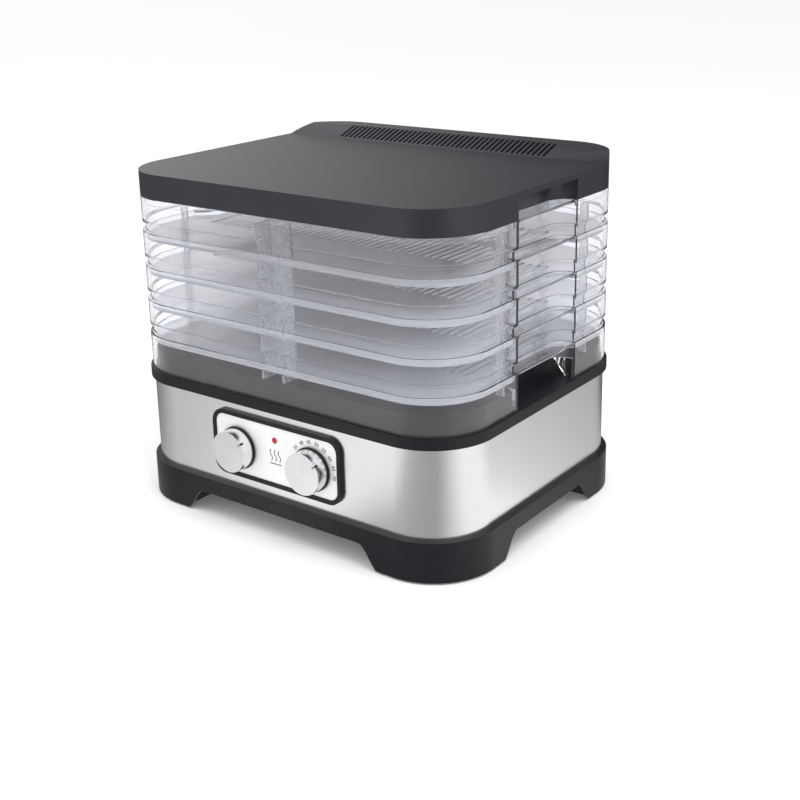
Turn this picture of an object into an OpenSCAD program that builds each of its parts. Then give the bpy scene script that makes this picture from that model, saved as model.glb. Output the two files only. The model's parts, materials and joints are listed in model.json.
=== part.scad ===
// Stacking food dehydrator: heated fan base, spacer collar, four drying trays and a vented lid.
// Millimetres. +Z is up, the control panel faces -Y, and the origin is the middle of the
// footprint on the surface that the feet stand on.

/* [Stack outline] */
// Width of a tray over its outer walls
stack_w = 325; // [290:1:400]
// Depth of a tray over its outer walls
stack_d = 260; // [230:1:330]
// Corner radius of a tray's outer wall
corner_r = 50; // [40:0.5:60]
// Length of the hand recess in each side wall
grip_len = 85; // [70:1:105]
// Depth of the hand recess, and the radius of its ends
grip_depth = 17; // [13:0.5:21]

/* [Trays] */
// Thickness of the clear tray walls
wall_t = 2; // [1.6:0.1:2.6]
// Side gap between a tray and the rim it nests in
nest_gap = 0.3; // [0.2:0.05:0.5]
// Height from one tray rim to the next
tray_pitch = 28.5; // [22:0.1:40]
// Depth that a tray sinks into the rim below it
nest_depth = 6; // [4:0.5:8]
// Height of the stepped-in wall that shows above each rim
notch_h = 7.1; // [5:0.1:9]
// Thickness of the slotted tray floor
floor_t = 2.2; // [1.6:0.1:3]
// Thickness of the straight finger bar across each hand recess
grip_bar_t = 2; // [1.5:0.1:3]
// Spacing of the floor slots
slot_pitch = 7; // [6:0.1:10]
// Width of a floor slot
slot_w = 3.5; // [2.5:0.1:4.5]
// Number of rows of floor slots
slot_rows = 4; // [2:1:6]
// Width of the bars between rows of floor slots
slot_bar = 5; // [3:0.5:8]
// Plain margin between the outer wall and the first slot
slot_margin = 11; // [9:0.5:16]
// Width of the stacking channel in the middle of the front and back walls
post_w = 22; // [16:1:30]
// Depth of the stacking channel from the outer wall
post_in = 18; // [12:1:24]
// Thickness of the stacking channel and of the side ribs
rib_t = 1.6; // [1.2:0.1:2.4]

/* [Base] */
// Height of the arch between the feet
arch_h = 20; // [14:1:26]
// Length of the curve from a foot up to the arch
arch_run = 20; // [12:1:28]
// Flat length of a foot beyond its rounded corner
foot_flat = 12; // [8:1:18]
// Height of the top of the black skirt
skirt_top = 33; // [30:0.2:42]
// Amount that the skirt stands out past the trays
skirt_out = 3.5; // [2:0.5:6]
// Height of the steel wrap
steel_h = 70.8; // [66:0.5:92]
// Thickness of the steel sheet
steel_t = 0.8; // [0.5:0.1:1.2]
// Inset of the steel from the tray outline
steel_in = 1; // [0.5:0.1:2]
// Height of the black band under the collar
band_h = 8.7; // [7:0.2:12]
// Amount that the band stands out past the trays
band_out = 2; // [1:0.5:4]
// Height of the plinth that rises inside the collar
plinth_h = 16.5; // [12:0.2:20]
// Clear gap between the plinth and the collar
plinth_gap = 2; // [1:0.5:4]
// Height of the collar
collar_h = 29.6; // [26:0.1:38]
// Wall thickness of the black mouldings
shell_t = 2.5; // [2:0.1:3]
// Thickness of a rubber foot pad
pad_t = 3; // [2:0.5:4]
// Radius of a rubber foot pad
pad_r = 9; // [7:0.5:11]
// Amount that a pad stands out of its foot
pad_out = 1.5; // [1:0.5:2]

/* [Control panel] */
// Width of the black bezel
panel_w = 130; // [120:1:150]
// Height of the black bezel
panel_h = 54; // [50:1:60]
// Corner radius of the black bezel
panel_r = 12; // [8:0.5:16]
// Height of the middle of the panel above the floor
panel_z = 69.8; // [68:0.1:74]
// Depth of the bezel in front of the steel
bezel_t = 3; // [2.4:0.1:4]
// Width of the bezel's visible frame
bezel_rim = 3.6; // [2.5:0.1:6]
// Thickness of the satin face plate
plate_t = 1.2; // [0.8:0.1:1.6]
// Distance of each knob from the middle of the panel
knob_x = 37.5; // [30:0.5:42]
// Height of the knobs above the floor
knob_z = 68; // [66:0.5:72]
// Radius of a knob's metal cap
knob_r = 16.5; // [13:0.5:18]
// Length of a knob's metal cap
knob_len = 10.3; // [8:0.1:14]
// Radius of the black ring behind a knob
ring_r = 17.5; // [14:0.5:19]
// Thickness of the black ring behind a knob
ring_t = 2; // [1.5:0.1:3]
// Gap between a knob and the face plate
knob_gap = 0.8; // [0.5:0.1:1.5]
// Clockwise angle of the pointers from straight up
pointer_deg = 55; // [0:1:90]
// Radius of the control shafts
shaft_r = 3; // [2:0.1:4]
// Radial running clearance of a turning shaft
run_gap = 0.05; // [0.02:0.01:0.1]
// Radius of the red indicator lens
lens_r = 2.5; // [2:0.1:4]
// Height of the indicator above the floor
lens_z = 82; // [80:0.1:84]

/* [Fan and heater] */
// Radius of the fan blades
fan_r = 57; // [45:0.5:60]
// Height of the fan blades
fan_h = 15; // [10:0.5:16]
// Number of fan blades
fan_blades = 7; // [5:1:9]
// Radius of the motor shaft
motor_shaft_r = 2.5; // [2:0.1:3]
// Radius of the round motor housing
motor_r = 26; // [22:0.5:30]
// Outer radius of the metal heat shield
shield_r = 74; // [70:0.5:76]
// Thickness of the heat shield sheet
shield_t = 0.8; // [0.6:0.1:1.2]
// Radius of the air outlet grille
grille_r = 71.7; // [68:0.1:73]
// Radius of the heating wire coil
coil_r = 2; // [1.5:0.1:2.5]

/* [Lid] */
// Height of the lid's flat top above the rim that it sits on
lid_h = 20.2; // [15:0.1:24]
// Wall thickness of the lid
lid_wall = 2.2; // [1.8:0.1:3]
// Thickness of the lid's top
lid_top_t = 2.5; // [2:0.1:3.5]
// Thickness of the lid's lip over each hand recess
lid_lip = 4.5; // [3.5:0.1:6]
// Height of the vent ridge above the flat top
ridge_h = 8; // [5:0.5:10]
// Distance from the back of the lid to the foot of the ramp
ridge_foot = 45; // [35:1:60]
// Distance from the back of the lid to the crest of the ramp
ridge_crest = 22; // [15:1:30]
// Spacing of the vent slots
vent_pitch = 5; // [4.4:0.1:8]
// Width of a vent slot
vent_w = 2.6; // [2:0.1:3.2]

/* [Cord gland] */
// Sideways place of the cord gland in the back wall
gland_x = 95; // [60:1:105]
// Height of the cord gland above the floor
gland_z = 52; // [48:1:70]
// Radius of the cord's hole
gland_bore_r = 3.6; // [3:0.1:4.5]
// Outer radius of the gland's neck
gland_neck_r = 7; // [6:0.1:8.5]

/* [Hidden] */
$fn = 96;
tray_count = 4;

// Heights of the stack
steel_top = skirt_top + steel_h;
band_top = steel_top + band_h;
plinth_top = band_top + plinth_h;
collar_rim = band_top + collar_h;
lid_z = collar_rim + tray_count * tray_pitch;
lid_top = lid_z + lid_h;

// Tray section, measured from a tray's own rim
low_in = wall_t + nest_gap;
tray_h = tray_pitch + nest_depth;
upper_h = tray_pitch - notch_h;
side_rib_y = grip_len / 2 + 18;
side_rib_len = 7;

// Base section
pan_z = arch_h + 1;
pan_top = pan_z + shell_t;
pillar_x = stack_w / 2 - corner_r;
pillar_y = stack_d / 2 - corner_r;
pillar_r = 7.5;
pillar_bore_r = 4.8;
pillar_top = steel_top + 2;
screw_seat = pillar_top - 12;
screw_r = 1.75;
foot_x = pillar_x - foot_flat;
foot_y = pillar_y - foot_flat;
foot_plate_t = 3;
pad_off = 20;
lip_in = steel_in + steel_t + 0.2;
lip_t = 2;
lip_h = 4.4;
plinth_in = wall_t + plinth_gap;
small_screw_r = 1.4;

// Control panel depths, along Y
steel_y = -stack_d / 2 + steel_in;
bezel_front = steel_y - bezel_t;
plate_back = steel_y - 1;
plate_front = plate_back - plate_t;
ring_back = plate_front - knob_gap;
cap_back = ring_back - ring_t;
knob_front = cap_back - knob_len;
cap_wall = 1.3;
cap_face = 1.8;
bracket_front = -stack_d / 2 + lip_in + lip_t;
bracket_t = 2;
bracket_screw_x = 45;
bracket_back = bracket_front + bracket_t;
bushing_r = 4.9;
bushing_end = plate_front - 3;
nut_t = 2.4;
nut_r = 8;
knob_cavity_r = 10;
window_w = panel_w - 28;
window_h = panel_h - 18;

// Fan and heater heights
bracket_z = pan_top + 4.5;
motor_z = bracket_z + 2;
motor_h = 28;
blade_z = motor_z + motor_h + 4;
shroud_gap = 3;
shroud_in = fan_r + shroud_gap;
shroud_t = 3;
shroud_z = blade_z - 2;
shroud_top = blade_z + fan_h + 2.7;
support_r = 78;
deck_ledge_z = plinth_top - shell_t - 2;
flange_z = deck_ledge_z - shield_t;
shield_z = shroud_top + 0.3;
flange_r = 84;
shield_screw_r = 80;
board_z = shield_z + 12;
board_h = 18;
board_t = 2;
coil_rings = [28, 42, 56];
bulb_z = board_z + board_h + 8;
bulb_y = -30;
inlet_r = 66;

// Lid heights
liner_plate_z = lid_z + 3.5;
liner_t = 1.6;
liner_in = lid_wall + 0.4;
lid_boss_r = 4;
lid_boss_x = stack_w / 2 - 40;
lid_boss_ys = [-stack_d / 2 + 26, stack_d / 2 - ridge_foot - 8];

clear_tint = [0.86, 0.88, 0.95, 0.4];
charcoal = [0.16, 0.18, 0.2];
black = [0.07, 0.075, 0.08];
steel_grey = [0.78, 0.79, 0.8];
zinc = [0.66, 0.67, 0.68];

// ---- Shared outlines ----

// Rounded rectangle of the stack, moved in by inset (or out if it is negative)
module outline(inset = 0) {
  w = stack_w - 2 * inset;
  d = stack_d - 2 * inset;
  r = corner_r - inset;
  square([w, d - 2 * r], center = true);
  square([w - 2 * r, d], center = true);
  for (sx = [-1, 1], sy = [-1, 1])
    translate([sx * (w / 2 - r), sy * (d / 2 - r)])
      circle(r = r);
}

// Both hand recesses, grown by the given amount
module grips(grow = 0) {
  end_y = grip_len / 2 - grip_depth;
  for (side = [-1, 1]) {
    for (end = [-1, 1])
      translate([side * stack_w / 2, end * end_y])
        circle(r = grip_depth + grow);
    translate([side * stack_w / 2, 0])
      square([2 * (grip_depth + grow), 2 * end_y], center = true);
  }
}

// Stack outline with its hand recesses, moved in by inset
module plan(inset = 0) {
  difference() {
    outline(inset);
    grips(inset);
  }
}

// Wall that follows the plan between two insets
module plan_wall(z0, z1, outer, inner) {
  translate([0, 0, z0])
    linear_extrude(z1 - z0)
      difference() {
        plan(outer);
        plan(inner);
      }
}

// Wall that follows the plain outline between two insets
module outline_wall(z0, z1, outer, inner) {
  translate([0, 0, z0])
    linear_extrude(z1 - z0)
      difference() {
        outline(outer);
        outline(inner);
      }
}

// Cylinder along Y from y0 to y1
module rod_y(x, z, y0, y1, r) {
  translate([x, y1, z])
    rotate([90, 0, 0])
      cylinder(h = y1 - y0, r = r);
}

// Rounded rectangle in the panel's plane, extruded from y0 to y1
module panel_block(w, h, r, y0, y1) {
  translate([0, y1, panel_z])
    rotate([90, 0, 0])
      linear_extrude(y1 - y0) {
        square([w, h - 2 * r], center = true);
        square([w - 2 * r, h], center = true);
        for (sx = [-1, 1], sz = [-1, 1])
          translate([sx * (w / 2 - r), sz * (h / 2 - r)])
            circle(r = r);
      }
}

// Pan-head screw that points up, with its head's seat at z
module screw_up(x, y, z, r, length, head_r, head_h) {
  translate([x, y, z - head_h])
    cylinder(h = head_h, r = head_r);
  translate([x, y, z])
    cylinder(h = length, r = r);
}

// ---- Trays and collar ----

// True where a point lies inside the plan moved in by inset
function in_plan(x, y, inset) =
  let (
    cx = max(0, abs(x) - (stack_w / 2 - corner_r)),
    cy = max(0, abs(y) - (stack_d / 2 - corner_r)),
    in_outline = abs(x) <= stack_w / 2 - inset && abs(y) <= stack_d / 2 - inset
      && norm([cx, cy]) <= corner_r - inset,
    in_grip = abs(y) <= grip_len / 2 + inset && abs(x) >= stack_w / 2 - grip_depth - inset
  )
  in_outline && !in_grip;

// Rectangular floor slots that fit inside the walls and clear the stacking channels
module floor_slots() {
  columns = floor((stack_w / 2 - slot_margin) / slot_pitch);
  row_len = (stack_d - 2 * slot_margin + slot_bar) / slot_rows - slot_bar;
  first_y = -stack_d / 2 + slot_margin + row_len / 2;
  for (row = [0 : slot_rows - 1], column = [-columns : columns]) {
    x = column * slot_pitch;
    y = first_y + row * (row_len + slot_bar);
    far_x = abs(x) + slot_w / 2;
    outer_row = row == 0 || row == slot_rows - 1;
    at_post = outer_row && abs(x) < post_w / 2 + slot_w;
    ends_fit = in_plan(far_x, y - row_len / 2, slot_margin)
      && in_plan(far_x, y + row_len / 2, slot_margin) && in_plan(far_x, y, slot_margin);
    if (ends_fit && !at_post)
      translate([x, y])
        square([slot_w, row_len], center = true);
  }
}

// Plan of a stacking channel and side ribs whose legs start at the given inset
module support_plan(start_in) {
  for (side = [-1, 1]) {
    for (leg = [-1, 1])
      translate([leg * (post_w - rib_t) / 2, side * (stack_d / 2 - (post_in + start_in) / 2)])
        square([rib_t, post_in - start_in], center = true);
    translate([0, side * (stack_d / 2 - post_in + rib_t / 2)])
      square([post_w, rib_t], center = true);
    for (end = [-1, 1])
      translate([side * (stack_w / 2 - start_in - side_rib_len / 2), end * side_rib_y])
        square([side_rib_len, rib_t], center = true);
  }
}

// Stacking supports under the tray above, hung from the upper wall
module supports(z0, z1) {
  translate([0, 0, z0])
    linear_extrude(z1 - z0)
      support_plan(wall_t / 2);
}

// Finger bar that closes each hand recess at the height of the rim
module grip_bars(rim) {
  translate([0, 0, rim - grip_bar_t])
    linear_extrude(grip_bar_t)
      intersection() {
        difference() {
          outline();
          plan(wall_t / 2);
        }
        square([2 * stack_w, grip_len], center = true);
      }
}

module tray(level) {
  rim = lid_z - (level - 1) * tray_pitch;
  foot = rim - tray_h;
  shoulder = rim - upper_h;
  support_top = rim - nest_depth;
  color(clear_tint) {
    plan_wall(shoulder, rim, 0, wall_t);
    plan_wall(shoulder, shoulder + wall_t, 0, low_in + wall_t);
    plan_wall(foot, shoulder + wall_t, low_in, low_in + wall_t);
    grip_bars(rim);
    supports(shoulder + wall_t / 2, support_top);
    translate([0, 0, foot + floor_t / 2])
      linear_extrude(shoulder - foot)
        support_plan(low_in + wall_t / 2);
    translate([0, 0, foot])
      linear_extrude(floor_t)
        difference() {
          plan(low_in);
          floor_slots();
        }
  }
}

module base_collar() {
  support_top = collar_rim - nest_depth;
  clear_z = plinth_top + 0.3;
  color(clear_tint) {
    difference() {
      plan_wall(band_top, collar_rim, 0, wall_t);
      translate([0, 0, (band_top + plinth_top) / 2])
        cube([2 * stack_w, grip_len, plinth_top - band_top], center = true);
    }
    grip_bars(collar_rim);
    supports(clear_z, support_top);
  }
}

// ---- Lid ----

// Side profile of the vent ridge, moved in by the wall it leaves
module ridge_profile(inset, depth) {
  back = stack_d / 2;
  polygon([
    [back - ridge_foot, lid_top - depth],
    [back - ridge_foot, lid_top - inset],
    [back - ridge_crest, lid_top + ridge_h - inset],
    [back + 1, lid_top + ridge_h - inset],
    [back + 1, lid_top - depth]
  ]);
}

// Ridge block across the lid, inside the outline moved in by side_in
module ridge_block(side_in, inset, depth) {
  intersection() {
    translate([-stack_w / 2 - 1, 0, 0])
      rotate([90, 0, 90])
        linear_extrude(stack_w + 2)
          ridge_profile(inset, depth);
    translate([0, 0, lid_z])
      linear_extrude(lid_h + ridge_h + 1)
        outline(side_in);
  }
}

// Row of vent slots from the foot of the ramp to just past its crest
module vent_slots() {
  count = floor((stack_w / 2 - corner_r - 4) / vent_pitch);
  y0 = stack_d / 2 - ridge_foot + 3;
  y1 = stack_d / 2 - ridge_crest + 3;
  for (i = [-count : count])
    translate([i * vent_pitch - vent_w / 2, y0])
      square([vent_w, y1 - y0]);
}

module lid_boss_places() {
  for (sx = [-1, 0, 1], y = lid_boss_ys)
    translate([sx * lid_boss_x, y, 0])
      children();
}

module lid_shell() {
  cavity_top = lid_top - lid_top_t;
  color(charcoal)
    difference() {
      union() {
        difference() {
          union() {
            translate([0, 0, lid_z])
              linear_extrude(lid_h)
                outline();
            ridge_block(0, 0, 1);
          }
          translate([0, 0, lid_z - 1])
            linear_extrude(lid_h - lid_lip + 1)
              grips();
          translate([0, 0, lid_z - 1])
            linear_extrude(cavity_top - lid_z + 1)
              plan(lid_wall);
          ridge_block(lid_wall, lid_top_t, lid_top_t + 1);
        }
        lid_boss_places()
          translate([0, 0, liner_plate_z + liner_t])
            cylinder(h = cavity_top - liner_plate_z - liner_t + 0.5, r = lid_boss_r);
      }
      lid_boss_places()
        translate([0, 0, liner_plate_z])
          cylinder(h = cavity_top - liner_plate_z - 2, r = screw_r);
      translate([0, 0, cavity_top - 1])
        linear_extrude(lid_top_t + ridge_h + 2)
          vent_slots();
    }
}

module lid_liner() {
  spigot_z = lid_z - nest_depth + 0.5;
  window = [60, 18];
  color(clear_tint) {
    plan_wall(spigot_z, liner_plate_z + 0.5, liner_in, liner_in + rib_t);
    translate([0, 0, liner_plate_z])
      linear_extrude(liner_t)
        difference() {
          plan(liner_in);
          for (i = [-1, 0, 1])
            translate([i * (window[0] + 14), stack_d / 2 - ridge_crest - 2])
              square(window, center = true);
          lid_boss_places()
            circle(r = screw_r);
        }
  }
}

module lid_screws() {
  color(zinc)
    lid_boss_places()
      screw_up(0, 0, liner_plate_z, screw_r, 8, 3.4, 1.8);
}

// ---- Base shells ----

module top_deck() {
  boss_z = pillar_top;
  color(black)
    difference() {
      union() {
        outline_wall(steel_top, band_top, -band_out, shell_t - band_out);
        outline_wall(steel_top, steel_top + 2, -band_out, lip_in + lip_t);
        outline_wall(steel_top - lip_h, steel_top + 1, lip_in, lip_in + lip_t);
        translate([0, 0, band_top - shell_t])
          linear_extrude(shell_t)
            difference() {
              outline(-band_out);
              plan(plinth_in + shell_t);
            }
        plan_wall(band_top - 1, plinth_top, plinth_in, plinth_in + shell_t);
        translate([0, 0, plinth_top - shell_t])
          linear_extrude(shell_t)
            difference() {
              plan(plinth_in);
              circle(r = grille_r + nest_gap);
            }
        translate([0, 0, deck_ledge_z])
          difference() {
            cylinder(h = 2.5, r = grille_r + 4);
            translate([0, 0, -1])
              cylinder(h = 4.5, r = grille_r - 4);
            translate([0, 0, 2])
              cylinder(h = 1, r = grille_r + nest_gap);
          }
        for (sx = [-1, 1], sy = [-1, 1])
          translate([sx * pillar_x, sy * pillar_y, boss_z])
            cylinder(h = plinth_top - boss_z - 1, r = 6);
        for (a = [45 : 90 : 315])
          rotate([0, 0, a])
            translate([shield_screw_r, 0, deck_ledge_z])
              cylinder(h = 3, r = 4);
      }
      for (sx = [-1, 1], sy = [-1, 1])
        translate([sx * pillar_x, sy * pillar_y, boss_z - 1])
          cylinder(h = 15, r = screw_r);
      for (a = [45 : 90 : 315])
        rotate([0, 0, a])
          translate([shield_screw_r, 0, deck_ledge_z - 1])
            cylinder(h = 4, r = small_screw_r);
    }
}

// Parallel slots clipped to a circle
module round_slots(r, pitch, w, bar) {
  count = floor((r - w) / pitch);
  for (i = [-count : count]) {
    x = i * pitch;
    half = sqrt(r * r - pow(abs(x) + w / 2, 2));
    for (end = [-1, 1])
      translate([x, end * (half + bar / 2) / 2])
        square([w, half - bar / 2], center = true);
  }
}

module outlet_grille() {
  color(black)
    translate([0, 0, plinth_top - shell_t])
      linear_extrude(shell_t)
        difference() {
          circle(r = grille_r);
          round_slots(grille_r - 8, 8, 4.5, 6);
        }
}

module steel_shell() {
  color(steel_grey)
    difference() {
      outline_wall(skirt_top, steel_top, steel_in, steel_in + steel_t);
      panel_block(window_w, window_h, 4, steel_y - 5, steel_y + 5);
      rod_y(gland_x, gland_z, stack_d / 2 - 8, stack_d / 2 + 2, gland_neck_r + 0.1);
    }
}

// Points of the arch between two feet, with a smooth curve down to each foot
function arch_points(half) =
  let (steps = 8)
  concat(
    [for (i = [0 : steps]) [-half + arch_run * i / steps, arch_h * (1 - cos(180 * i / steps)) / 2]],
    [for (i = [0 : steps]) [half - arch_run * (1 - i / steps), arch_h * (1 + cos(180 * i / steps)) / 2]]
  );

module arch_cut(half, length) {
  rotate([90, 0, 0])
    translate([0, 0, -length / 2])
      linear_extrude(length)
        union() {
          polygon(arch_points(half));
          translate([-half, -1])
            square([2 * half, 1.001]);
        }
}

// Corner blocks that the feet fill
module foot_areas(grow) {
  size = 100;
  for (sx = [-1, 1], sy = [-1, 1])
    translate([sx * (foot_x - grow + size / 2), sy * (foot_y - grow + size / 2)])
      square([size, size], center = true);
}

module lower_housing() {
  color(black)
    difference() {
      union() {
        difference() {
          outline_wall(pad_out, skirt_top, -skirt_out, shell_t - skirt_out);
          arch_cut(foot_x, 2 * stack_d);
          rotate([0, 0, 90])
            arch_cut(foot_y, 2 * stack_w);
        }
        outline_wall(skirt_top - 2, skirt_top, -skirt_out, lip_in + lip_t);
        outline_wall(skirt_top - 1, skirt_top + lip_h, lip_in, lip_in + lip_t);
        translate([0, 0, pan_z])
          linear_extrude(shell_t)
            difference() {
              outline(shell_t - skirt_out - 0.5);
              circle(r = inlet_r);
            }
        translate([0, 0, pad_out])
          linear_extrude(foot_plate_t)
            intersection() {
              outline(shell_t - skirt_out - 0.5);
              foot_areas(0);
            }
        translate([0, 0, pad_out])
          linear_extrude(pan_z - pad_out + 0.5)
            intersection() {
              outline(shell_t - skirt_out - 0.5);
              difference() {
                foot_areas(0);
                foot_areas(-shell_t);
              }
            }
        for (sx = [-1, 1], sy = [-1, 1])
          translate([sx * pillar_x, sy * pillar_y, pad_out])
            cylinder(h = pillar_top - pad_out, r = pillar_r);
        for (a = [45 : 90 : 315])
          rotate([0, 0, a])
            translate([support_r, 0, pan_top - 0.5])
              cylinder(h = bracket_z - pan_top + 0.5, r = 4);
      }
      for (sx = [-1, 1], sy = [-1, 1]) {
        translate([sx * pillar_x, sy * pillar_y, -1])
          cylinder(h = screw_seat + 1, r = pillar_bore_r);
        translate([sx * pillar_x, sy * pillar_y, screw_seat - 1])
          cylinder(h = pillar_top - screw_seat + 2, r = screw_r + 0.3);
        translate([sx * (pillar_x + pad_off), sy * (pillar_y + pad_off), -1])
          cylinder(h = pad_t + 1, r = pad_r);
      }
      for (a = [45 : 90 : 315])
        rotate([0, 0, a])
          translate([support_r, 0, pan_z - 1])
            cylinder(h = bracket_z, r = small_screw_r);
      for (sx = [-1, 1])
        translate([sx * bracket_screw_x, bracket_back + 8, pan_z - 1])
          cylinder(h = shell_t + 2, r = small_screw_r);
    }
}

module inlet_grille() {
  color(black) {
    translate([0, 0, pan_z - 2])
      linear_extrude(2)
        difference() {
          circle(r = inlet_r + 4);
          round_slots(inlet_r - 8, 8, 4.5, 6);
        }
    translate([0, 0, pan_z - 0.5])
      difference() {
        cylinder(h = shell_t + 0.5, r = inlet_r - nest_gap);
        translate([0, 0, -1])
          cylinder(h = shell_t + 3, r = inlet_r - 3);
      }
  }
}

module rubber_feet() {
  color([0.05, 0.05, 0.05])
    for (sx = [-1, 1], sy = [-1, 1])
      translate([sx * (pillar_x + pad_off), sy * (pillar_y + pad_off), 0])
        cylinder(h = pad_t, r = pad_r);
}

module housing_screws() {
  color(zinc)
    for (sx = [-1, 1], sy = [-1, 1])
      screw_up(sx * pillar_x, sy * pillar_y, screw_seat, screw_r, 24, 4.2, 3);
}

// ---- Control panel ----

module panel_bezel() {
  color(black)
    difference() {
      panel_block(panel_w, panel_h, panel_r, bezel_front, steel_y);
      panel_block(panel_w - 2 * bezel_rim, panel_h - 2 * bezel_rim, panel_r - bezel_rim,
        bezel_front - 1, plate_back);
      for (side = [-1, 1])
        rod_y(side * knob_x, knob_z, bezel_front, steel_y + 1, bushing_r + 1);
      rod_y(0, lens_z, bezel_front, steel_y + 1, lens_r);
    }
}

module panel_plate() {
  fit = 0.1;
  color([0.88, 0.89, 0.89])
    difference() {
      panel_block(panel_w - 2 * bezel_rim - 2 * fit, panel_h - 2 * bezel_rim - 2 * fit,
        panel_r - bezel_rim - fit, plate_front, plate_back);
      for (side = [-1, 1])
        rod_y(side * knob_x, knob_z, plate_front - 1, plate_back + 1, bushing_r);
      rod_y(0, lens_z, plate_front - 1, plate_back + 1, lens_r);
    }
}

module indicator_lens() {
  dome_r = 5;
  color([0.75, 0.05, 0.07])
    intersection() {
      rod_y(0, lens_z, plate_front - 2, steel_y, lens_r);
      translate([0, plate_front - 0.9 + dome_r, lens_z])
        sphere(r = dome_r);
    }
}

module indicator_lamp() {
  color([0.85, 0.5, 0.3]) {
    rod_y(0, lens_z, steel_y, bracket_back + 10, 3.2);
    for (side = [-1, 1])
      rod_y(side * 1.5, lens_z, bracket_back + 10, bracket_back + 16, 0.5);
  }
}

module control_bracket() {
  w = panel_w - 14;
  foot_d = 16;
  top_z = panel_z + panel_h / 2 - 4;
  color(zinc)
    difference() {
      union() {
        translate([-w / 2, bracket_front, pan_top])
          cube([w, bracket_t, top_z - pan_top]);
        translate([-w / 2, bracket_front, pan_top])
          cube([w, foot_d, bracket_t]);
      }
      for (side = [-1, 1]) {
        rod_y(side * knob_x, knob_z, bracket_front - 1, bracket_back + 1, bushing_r);
        translate([side * bracket_screw_x, bracket_back + 8, pan_top - 1])
          cylinder(h = bracket_t + 2, r = small_screw_r);
      }
      rod_y(0, lens_z, bracket_front - 1, bracket_back + 1, 3.2);
    }
}

// Screw that points down, with its head's seat at z
module screw_down(x, y, z, r, length, head_r, head_h) {
  translate([x, y, z])
    cylinder(h = head_h, r = head_r);
  translate([x, y, z - length])
    cylinder(h = length, r = r);
}

module bracket_screws() {
  color(zinc)
    for (side = [-1, 1])
      screw_down(side * bracket_screw_x, bracket_back + 8, pan_top + bracket_t, small_screw_r,
        bracket_t + shell_t, 2.8, 1.8);
}

// Threaded bushing of a control, with the running bore for its shaft
module bushing(x, body_back) {
  difference() {
    union() {
      rod_y(x, knob_z, bushing_end, bracket_back + 1, bushing_r);
      children();
    }
    rod_y(x, knob_z, bushing_end - 1, body_back - 6, shaft_r + run_gap);
  }
}

module timer_module() {
  back = bracket_back + 30;
  color([0.82, 0.8, 0.72])
    bushing(-knob_x, back) {
      rod_y(-knob_x, knob_z, bracket_back, back, 22);
      for (side = [-1, 1])
        translate([-knob_x + side * 8 - 0.4, back - 1, knob_z - 3])
          cube([0.8, 8, 6]);
    }
}

module thermostat_module() {
  back = bracket_back + 26;
  size = 34;
  color([0.5, 0.32, 0.2])
    bushing(knob_x, back) {
      translate([knob_x - size / 2, bracket_back, knob_z - size / 2])
        cube([size, back - bracket_back, size]);
      for (side = [-1, 1])
        translate([knob_x + side * 10 - 0.4, back - 1, knob_z - 3])
          cube([0.8, 8, 6]);
    }
}

// Flat hexagon nut on a control's bushing
module bushing_nut(x) {
  color(zinc)
    translate([x, plate_front, knob_z])
      rotate([90, 0, 0])
        difference() {
          cylinder(h = nut_t, r = nut_r, $fn = 6);
          translate([0, 0, -1])
            cylinder(h = nut_t + 2, r = bushing_r);
        }
}

module timer_nut() {
  bushing_nut(-knob_x);
}

module thermostat_nut() {
  bushing_nut(knob_x);
}

// Round control shaft from inside its module to the socket in the knob
module control_shaft(x, body_back) {
  color(zinc)
    rod_y(x, knob_z, knob_front + cap_face + 2, body_back - 6.5, shaft_r);
}

module timer_shaft() {
  control_shaft(-knob_x, bracket_back + 30);
}

module thermostat_shaft() {
  control_shaft(knob_x, bracket_back + 26);
}

// Black core of a knob: the ring that shows behind the cap, and the hub on the shaft
module knob_core(x) {
  hub_front = knob_front + cap_face;
  color(black)
    difference() {
      union() {
        rod_y(x, knob_z, cap_back, ring_back, ring_r);
        rod_y(x, knob_z, hub_front, cap_back + 0.5, knob_r - cap_wall);
      }
      rod_y(x, knob_z, cap_back - 2.5, ring_back + 1, knob_cavity_r);
      rod_y(x, knob_z, hub_front + 2, ring_back + 1, shaft_r);
    }
}

module timer_knob_core() {
  knob_core(-knob_x);
}

module thermostat_knob_core() {
  knob_core(knob_x);
}

// Bar at the rim of a knob's face, at the pointer's angle
module pointer_bar(x) {
  bar = [1.8, 3.2, 4];
  translate([x, 0, knob_z])
    rotate([0, pointer_deg, 0])
      translate([-bar[0] / 2, knob_front, knob_r - bar[2] + 0.5])
        cube(bar);
}

module knob_cap(x) {
  color([0.86, 0.87, 0.88])
    difference() {
      rod_y(x, knob_z, knob_front, cap_back, knob_r);
      rod_y(x, knob_z, knob_front + cap_face, cap_back + 1, knob_r - cap_wall);
      pointer_bar(x);
    }
}

module knob_pointer(x) {
  color(black)
    intersection() {
      difference() {
        rod_y(x, knob_z, knob_front, cap_back, knob_r);
        rod_y(x, knob_z, knob_front + cap_face, cap_back + 1, knob_r - cap_wall);
      }
      pointer_bar(x);
    }
}

module timer_knob_cap() {
  knob_cap(-knob_x);
}

module thermostat_knob_cap() {
  knob_cap(knob_x);
}

module timer_pointer() {
  knob_pointer(-knob_x);
}

module thermostat_pointer() {
  knob_pointer(knob_x);
}

// Round wire along a list of points
module wire(points, r) {
  for (i = [0 : len(points) - 2]) {
    a = points[i];
    b = points[i + 1];
    v = b - a;
    length = norm(v);
    translate(a)
      rotate([0, acos(v[2] / length), atan2(v[1], v[0])])
        cylinder(h = length, r = r);
    translate(b)
      sphere(r = r);
  }
}

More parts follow.
